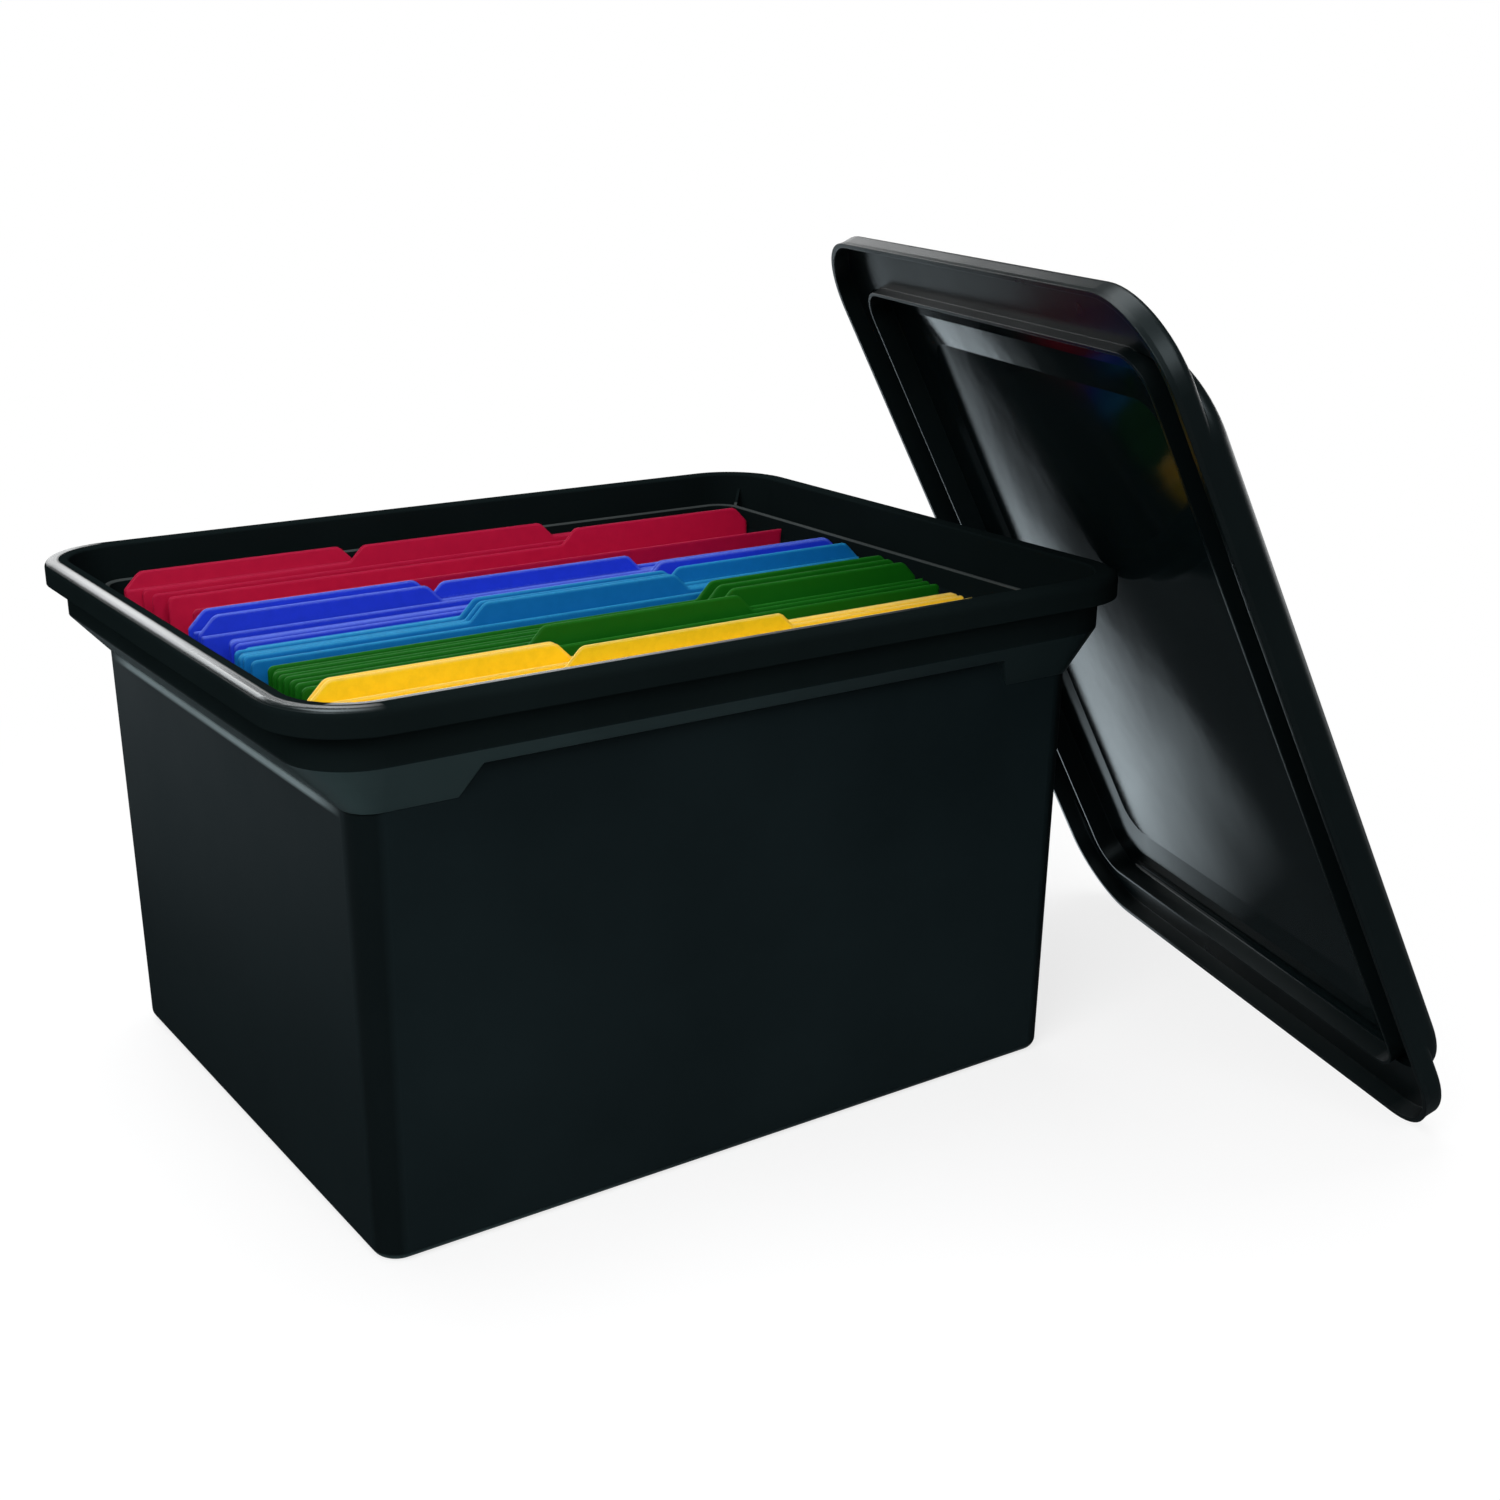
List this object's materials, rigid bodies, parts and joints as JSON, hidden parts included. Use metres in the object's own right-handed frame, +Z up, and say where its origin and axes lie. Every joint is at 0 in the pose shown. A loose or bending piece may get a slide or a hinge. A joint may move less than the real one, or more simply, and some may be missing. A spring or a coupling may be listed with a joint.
{
  "type": "portable file box",
  "caption": "Deep black moulded file tote filled with coloured tabbed folders, its stepped lid taken off and leaning on one corner of the rolled lip.",
  "frame": {"origin": "middle of the tub's base on the surface it stands on", "axes": "+Z up, +X along the tub's long side to the right, +Y from the front long side to the back"},
  "size_m": [0.6305, 0.5413, 0.4291],
  "materials": {
    "moulded_plastic": "black injection-moulded polypropylene, satin outside and glossy inside the lid",
    "card_red": "smooth red folder card",
    "card_indigo": "smooth indigo folder card",
    "card_blue": "smooth blue folder card",
    "card_green": "smooth green folder card",
    "card_yellow": "smooth yellow folder card"
  },
  "bodies": {
    "tub": {"tub": "moulded_plastic"},
    "lid": {"lid": "moulded_plastic"},
    "folder_red_left": {"folder_red_left": "card_red"},
    "folder_red_centre": {"folder_red_centre": "card_red"},
    "folder_red_right": {"folder_red_right": "card_red"},
    "folder_indigo_left_rear": {"folder_indigo_left_rear": "card_indigo"},
    "folder_indigo_centre": {"folder_indigo_centre": "card_indigo"},
    "folder_indigo_left_front": {"folder_indigo_left_front": "card_indigo"},
    "folder_indigo_right_rear": {"folder_indigo_right_rear": "card_indigo"},
    "folder_indigo_right_front": {"folder_indigo_right_front": "card_indigo"},
    "folder_blue_right": {"folder_blue_right": "card_blue"},
    "folder_blue_centre_rear": {"folder_blue_centre_rear": "card_blue"},
    "folder_blue_centre_middle": {"folder_blue_centre_middle": "card_blue"},
    "folder_blue_centre_front": {"folder_blue_centre_front": "card_blue"},
    "folder_green_right_rear": {"folder_green_right_rear": "card_green"},
    "folder_green_right_middle": {"folder_green_right_middle": "card_green"},
    "folder_green_right_front": {"folder_green_right_front": "card_green"},
    "folder_green_centre": {"folder_green_centre": "card_green"},
    "folder_yellow_left_rear": {"folder_yellow_left_rear": "card_yellow"},
    "folder_yellow_left_front": {"folder_yellow_left_front": "card_yellow"},
    "folder_yellow_centre": {"folder_yellow_centre": "card_yellow"}
  },
  "joints": [
    {"name": "lid_lift", "type": "slide", "parent": "tub", "child": "lid", "axis": [0, 0, 1], "range_m": [0, 0.3]},
    {"name": "lift_red_left", "type": "slide", "parent": "tub", "child": "folder_red_left", "axis": [0, 0.0351, 0.9994], "range_m": [0, 0.26]},
    {"name": "lift_red_centre", "type": "slide", "parent": "tub", "child": "folder_red_centre", "axis": [0, 0.0351, 0.9994], "range_m": [0, 0.26]},
    {"name": "lift_red_right", "type": "slide", "parent": "tub", "child": "folder_red_right", "axis": [0, 0.0351, 0.9994], "range_m": [0, 0.26]},
    {"name": "lift_indigo_left_rear", "type": "slide", "parent": "tub", "child": "folder_indigo_left_rear", "axis": [0, 0, 1], "range_m": [0, 0.15]},
    {"name": "lift_indigo_centre", "type": "slide", "parent": "tub", "child": "folder_indigo_centre", "axis": [0, 0, 1], "range_m": [0, 0.15]},
    {"name": "lift_indigo_left_front", "type": "slide", "parent": "tub", "child": "folder_indigo_left_front", "axis": [0, 0, 1], "range_m": [0, 0.15]},
    {"name": "lift_indigo_right_rear", "type": "slide", "parent": "tub", "child": "folder_indigo_right_rear", "axis": [0, 0, 1], "range_m": [0, 0.15]},
    {"name": "lift_indigo_right_front", "type": "slide", "parent": "tub", "child": "folder_indigo_right_front", "axis": [0, 0, 1], "range_m": [0, 0.15]},
    {"name": "lift_blue_right", "type": "slide", "parent": "tub", "child": "folder_blue_right", "axis": [0, 0, 1], "range_m": [0, 0.14]},
    {"name": "lift_blue_centre_rear", "type": "slide", "parent": "tub", "child": "folder_blue_centre_rear", "axis": [0, 0, 1], "range_m": [0, 0.14]},
    {"name": "lift_blue_centre_middle", "type": "slide", "parent": "tub", "child": "folder_blue_centre_middle", "axis": [0, 0, 1], "range_m": [0, 0.14]},
    {"name": "lift_blue_centre_front", "type": "slide", "parent": "tub", "child": "folder_blue_centre_front", "axis": [0, 0, 1], "range_m": [0, 0.14]},
    {"name": "lift_green_right_rear", "type": "slide", "parent": "tub", "child": "folder_green_right_rear", "axis": [0, 0, 1], "range_m": [0, 0.13]},
    {"name": "lift_green_right_middle", "type": "slide", "parent": "tub", "child": "folder_green_right_middle", "axis": [0, 0, 1], "range_m": [0, 0.13]},
    {"name": "lift_green_right_front", "type": "slide", "parent": "tub", "child": "folder_green_right_front", "axis": [0, 0, 1], "range_m": [0, 0.13]},
    {"name": "lift_green_centre", "type": "slide", "parent": "tub", "child": "folder_green_centre", "axis": [0, 0, 1], "range_m": [0, 0.13]},
    {"name": "lift_yellow_left_rear", "type": "slide", "parent": "tub", "child": "folder_yellow_left_rear", "axis": [0, 0, 1], "range_m": [0, 0.11]},
    {"name": "lift_yellow_left_front", "type": "slide", "parent": "tub", "child": "folder_yellow_left_front", "axis": [0, 0, 1], "range_m": [0, 0.11]},
    {"name": "lift_yellow_centre", "type": "slide", "parent": "tub", "child": "folder_yellow_centre", "axis": [0, 0, 1], "range_m": [0, 0.11]}
  ]
}
